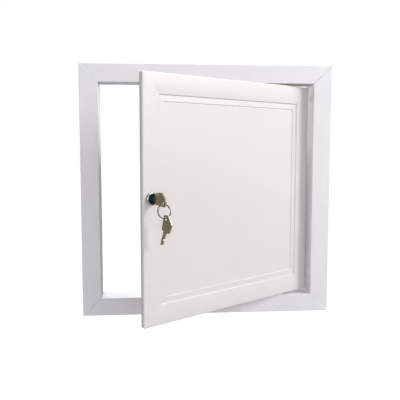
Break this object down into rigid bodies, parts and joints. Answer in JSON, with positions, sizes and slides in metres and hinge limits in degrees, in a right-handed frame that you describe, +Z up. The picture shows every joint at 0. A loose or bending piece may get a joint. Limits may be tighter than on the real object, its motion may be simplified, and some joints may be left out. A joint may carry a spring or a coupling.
{
  "type": "ceiling access panel",
  "caption": "Square white access panel with a flanged mitred frame, a moulded hinged door, a cam lock and keys on a ring.",
  "frame": {"origin": "centre of the opening, on the plane where the back of the flange meets the ceiling or wall", "axes": "+Y runs back through the opening into the ceiling or wall, +X runs from the lock side to the hinge side, and +Z runs up along the hinge pins, as in the picture"},
  "size_m": [0.35, 0.2116, 0.35],
  "materials": {
    "frame_white": "satin white powder coat with a cool tint",
    "door_white": "semi-gloss warm white moulded plastic",
    "nylon": "matt off-white nylon",
    "zinc": "bright zinc plate",
    "chrome": "polished chrome plate",
    "dark_chrome": "polished dark blue-black plug face",
    "key_metal": "nickel-plated brass, lightly worn"
  },
  "bodies": {
    "frame": {"frame_top": "frame_white", "frame_bottom": "frame_white", "frame_lock_side": "frame_white", "frame_hinge_side": "frame_white", "corner_key_top_lock": "zinc", "corner_key_top_hinge": "zinc", "corner_key_bottom_lock": "zinc", "corner_key_bottom_hinge": "zinc", "corner_screw_top_lock_a": "zinc", "corner_screw_top_lock_b": "zinc", "corner_screw_top_hinge_a": "zinc", "corner_screw_top_hinge_b": "zinc", "corner_screw_bottom_lock_a": "zinc", "corner_screw_bottom_lock_b": "zinc", "corner_screw_bottom_hinge_a": "zinc", "corner_screw_bottom_hinge_b": "zinc", "pivot_bush_top": "nylon", "pivot_bush_bottom": "nylon", "door_stop_top": "nylon", "door_stop_bottom": "nylon", "door_stop_screw_top": "zinc", "door_stop_screw_bottom": "zinc"},
    "door": {"door_leaf": "door_white", "hinge_block_top": "nylon", "hinge_block_bottom": "nylon", "hinge_screw_top_a": "zinc", "hinge_screw_top_b": "zinc", "hinge_screw_bottom_a": "zinc", "hinge_screw_bottom_b": "zinc", "hinge_pin_top": "zinc", "hinge_pin_bottom": "zinc", "lock_housing": "chrome", "lock_nut": "zinc"},
    "plug": {"lock_plug": "dark_chrome", "lock_wafer_1": "key_metal", "lock_wafer_2": "key_metal", "lock_wafer_3": "key_metal", "lock_wafer_4": "key_metal", "lock_cam": "zinc", "cam_screw": "zinc"},
    "key": {"key": "key_metal"},
    "ring": {"key_ring": "chrome"},
    "spare": {"spare_key": "key_metal"}
  },
  "joints": [
    {"name": "door_swing", "type": "hinge", "parent": "frame", "child": "door", "pos_m": [0.1139, 0.012, 0], "axis": [0, 0, 1], "range_deg": [-36.5, 73.5]},
    {"name": "lock_turn", "type": "hinge", "parent": "door", "child": "plug", "pos_m": [-0.07817, -0.14754, 0.0037], "axis": [0.5948, -0.8039, 0], "range_deg": [0, 90]},
    {"name": "key_slide", "type": "slide", "parent": "plug", "child": "key", "axis": [0.5948, -0.8039, 0], "range_m": [0, 0.022]},
    {"name": "ring_swing", "type": "hinge", "parent": "key", "child": "ring", "pos_m": [-0.06503, -0.16531, -0.00076], "axis": [-0.8039, -0.5948, 0], "range_deg": [-8, 60]},
    {"name": "spare_swing", "type": "hinge", "parent": "ring", "child": "spare", "pos_m": [-0.06193, -0.16672, -0.0163], "axis": [-0.8039, -0.5948, 0], "range_deg": [-8, 45]}
  ]
}
